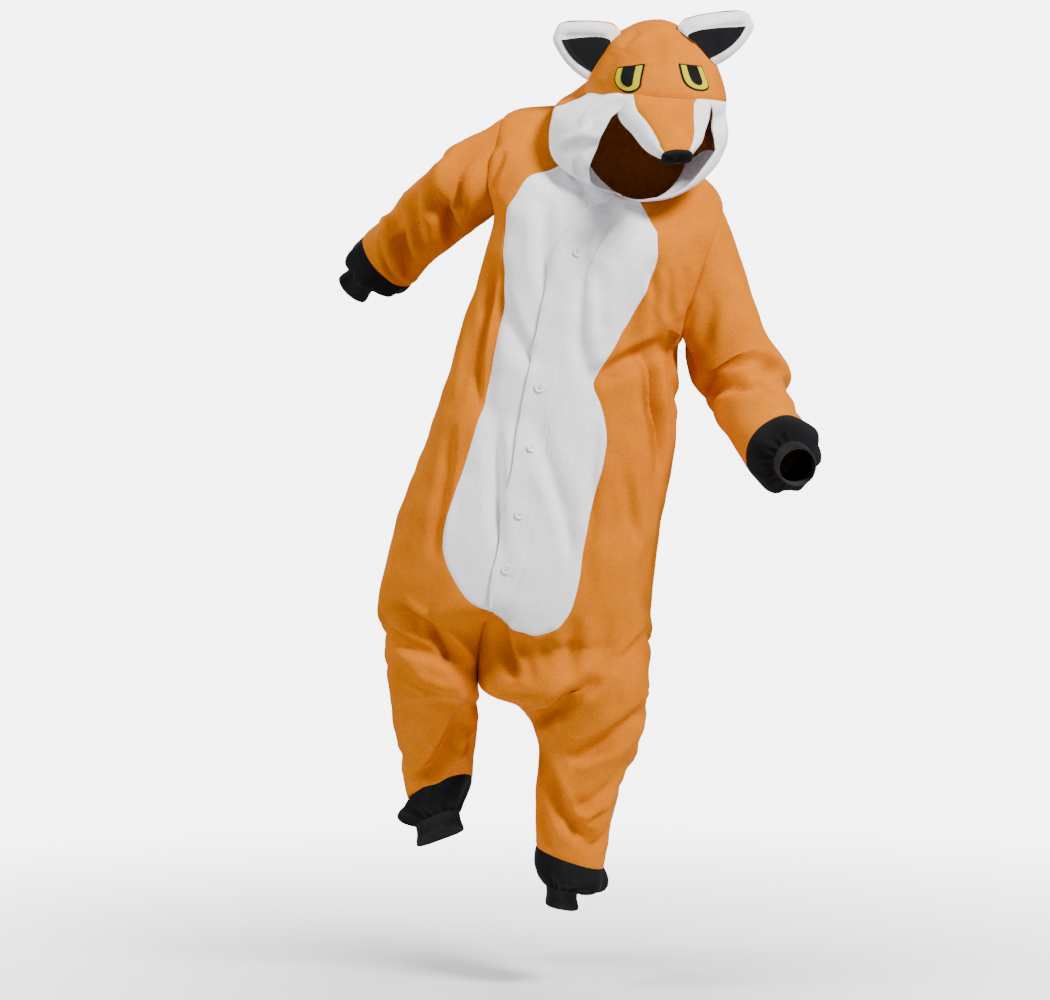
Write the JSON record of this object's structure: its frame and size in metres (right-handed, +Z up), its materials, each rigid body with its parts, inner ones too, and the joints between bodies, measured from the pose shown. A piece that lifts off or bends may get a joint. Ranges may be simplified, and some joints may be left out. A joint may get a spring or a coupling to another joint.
{
  "type": "fox onesie",
  "caption": "Hooded fox onesie, worn and hollow, in orange fleece with a white belly, a buttoned front, a fox face hood with ears, and black bands at the cuffs.",
  "frame": {"origin": "base of the neck, between the shoulders, inside the neck opening", "axes": "+Z up, -Y out of the chest, +X to the right of someone facing the chest"},
  "size_m": [0.8605, 0.5137, 1.6042],
  "materials": {
    "orange_fleece": "soft short-pile fleece",
    "white_fleece": "soft short-pile fleece",
    "black_fleece": "soft short-pile fleece",
    "black_rib": "rib knit",
    "yellow_felt": "felt",
    "button_plastic": "satin"
  },
  "bodies": {
    "root": {"back_left": "orange_fleece", "back_right": "orange_fleece", "ear_back_left": "orange_fleece", "ear_back_right": "orange_fleece", "front_left": "orange_fleece", "front_right": "orange_fleece", "hood_crown_left": "orange_fleece", "hood_crown_right": "orange_fleece", "muzzle_top": "orange_fleece", "sleeve_left": "orange_fleece", "sleeve_right": "orange_fleece", "belly_left": "white_fleece", "belly_right": "white_fleece", "ear_front_left": "white_fleece", "ear_front_right": "white_fleece", "hood_cheek_left": "white_fleece", "hood_cheek_right": "white_fleece", "muzzle_side_left": "white_fleece", "muzzle_side_right": "white_fleece", "placket": "white_fleece", "ankle_band_left": "black_fleece", "ankle_band_right": "black_fleece", "ear_inner_left": "black_fleece", "ear_inner_right": "black_fleece", "ear_tip_left": "black_fleece", "ear_tip_right": "black_fleece", "eye_edge_left": "black_fleece", "eye_edge_right": "black_fleece", "eye_pupil_left": "black_fleece", "eye_pupil_right": "black_fleece", "nose": "black_fleece", "wrist_band_left": "black_fleece", "wrist_band_right": "black_fleece", "ankle_cuff_left": "black_rib", "ankle_cuff_right": "black_rib", "wrist_cuff_left": "black_rib", "wrist_cuff_right": "black_rib", "eye_iris_left": "yellow_felt", "eye_iris_right": "yellow_felt", "button_1": "button_plastic", "button_2": "button_plastic", "button_3": "button_plastic", "button_4": "button_plastic", "button_5": "button_plastic"}
  },
  "joints": []
}
